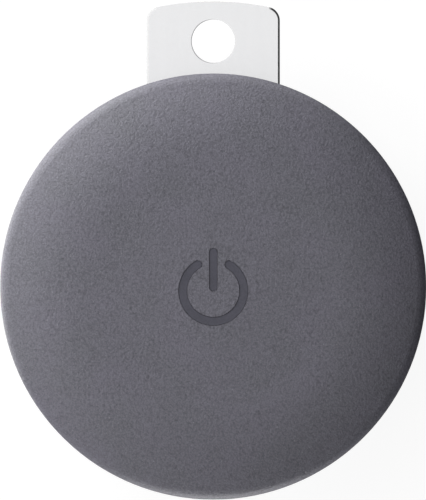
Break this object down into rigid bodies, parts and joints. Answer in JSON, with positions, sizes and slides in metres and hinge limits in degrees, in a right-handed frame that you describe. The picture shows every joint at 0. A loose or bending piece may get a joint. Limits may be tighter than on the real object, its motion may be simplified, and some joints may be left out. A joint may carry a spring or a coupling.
{
  "type": "bluetooth tracker tag",
  "caption": "Round press-to-wake Bluetooth tracker tag: a domed grained front cap with a power icon, a snap-off rear cover over a coin cell, and a clear battery pull tab.",
  "frame": {"origin": "centre of the flat rear face of the rear cover", "axes": "+Z points out of the front cap, square to the rear face; +Y points along the pull tab, the way it is drawn out; +X is to the right when the front cap is seen with the tab at the top"},
  "size_m": [0.036, 0.0421, 0.0086],
  "materials": {
    "cap_plastic": "fine grained matt",
    "icon_plastic": "smooth satin",
    "frame_plastic": "fine grained matt",
    "cover_plastic": "fine grained matt",
    "clear_film": "clear, gloss",
    "silicone": "matt",
    "seal_rubber": "matt",
    "foam": "open-cell foam",
    "cell_steel": "nickel-plated, satin",
    "cell_gasket": "translucent nylon",
    "cell_core": "pressed powder and foil",
    "board_laminate": "solder mask, satin",
    "screw_steel": "zinc-plated",
    "chip_black": "moulded epoxy",
    "crystal_metal": "plated lid",
    "antenna_ceramic": "glazed ceramic",
    "ferrite": "sintered ferrite",
    "led_resin": "diffusing resin",
    "capacitor_ceramic": "ceramic",
    "resistor_black": "glazed",
    "switch_plastic": "moulded",
    "contact_steel": "nickel-plated spring",
    "contact_gold": "gold-plated spring",
    "stem_plastic": "moulded",
    "piezo_brass": "rolled sheet",
    "piezo_ceramic": "silvered ceramic",
    "glue": "cured adhesive"
  },
  "bodies": {
    "chassis": {"mid_frame": "frame_plastic", "cap_spring_ring": "silicone", "main_board": "board_laminate", "board_screws": "screw_steel", "radio_chip": "chip_black", "radio_crystal": "crystal_metal", "clock_crystal": "crystal_metal", "chip_antenna": "antenna_ceramic", "boost_inductor": "ferrite", "status_led": "led_resin", "driver_transistor": "chip_black", "chip_capacitors": "capacitor_ceramic", "chip_resistors": "resistor_black", "switch_base": "switch_plastic", "switch_frame": "contact_steel", "switch_dome": "contact_steel", "negative_contact": "contact_gold", "positive_contact": "contact_gold", "piezo_fingers": "contact_gold"},
    "front_cap": {"front_cap": "cap_plastic", "power_icon": "icon_plastic", "piezo_plate": "piezo_brass", "piezo_ceramic": "piezo_ceramic", "piezo_glue_ring": "glue"},
    "switch_stem": {"switch_stem": "stem_plastic"},
    "rear_cover": {"rear_cover": "cover_plastic", "rear_seal_ring": "seal_rubber", "cell_pad": "foam"},
    "coin_cell": {"coin_cell_can": "cell_steel", "coin_cell_gasket": "cell_gasket", "coin_cell_lid": "cell_steel", "coin_cell_core": "cell_core"},
    "pull_tab": {"pull_tab": "clear_film"}
  },
  "joints": [
    {"name": "front_cap_press", "type": "slide", "parent": "chassis", "child": "front_cap", "axis": [0, 0, -1], "range_m": [0, 0.00025], "stiffness_N_per_m": 6000, "springref_m": -0.00002, "deforming": ["cap_spring_ring", "piezo_fingers"]},
    {"name": "switch_stem_press", "type": "slide", "parent": "chassis", "child": "switch_stem", "axis": [0, 0, -1], "range_m": [0, 0.00025], "deforming": ["switch_dome"]},
    {"name": "rear_cover_release", "type": "slide", "parent": "rear_cover", "child": "chassis", "axis": [0, 0, 1], "range_m": [0, 0.014]},
    {"name": "coin_cell_release", "type": "slide", "parent": "rear_cover", "child": "coin_cell", "axis": [0, 0, 1], "range_m": [0, 0.007]},
    {"name": "pull_tab_pull", "type": "slide", "parent": "chassis", "child": "pull_tab", "axis": [0, 1, 0], "range_m": [0, 0.022]}
  ],
  "couplings": [
    {"joint": "switch_stem_press", "follows": "front_cap_press", "ratio": 0.9},
    {"joint": "coin_cell_release", "follows": "rear_cover_release", "ratio": 0.5}
  ]
}
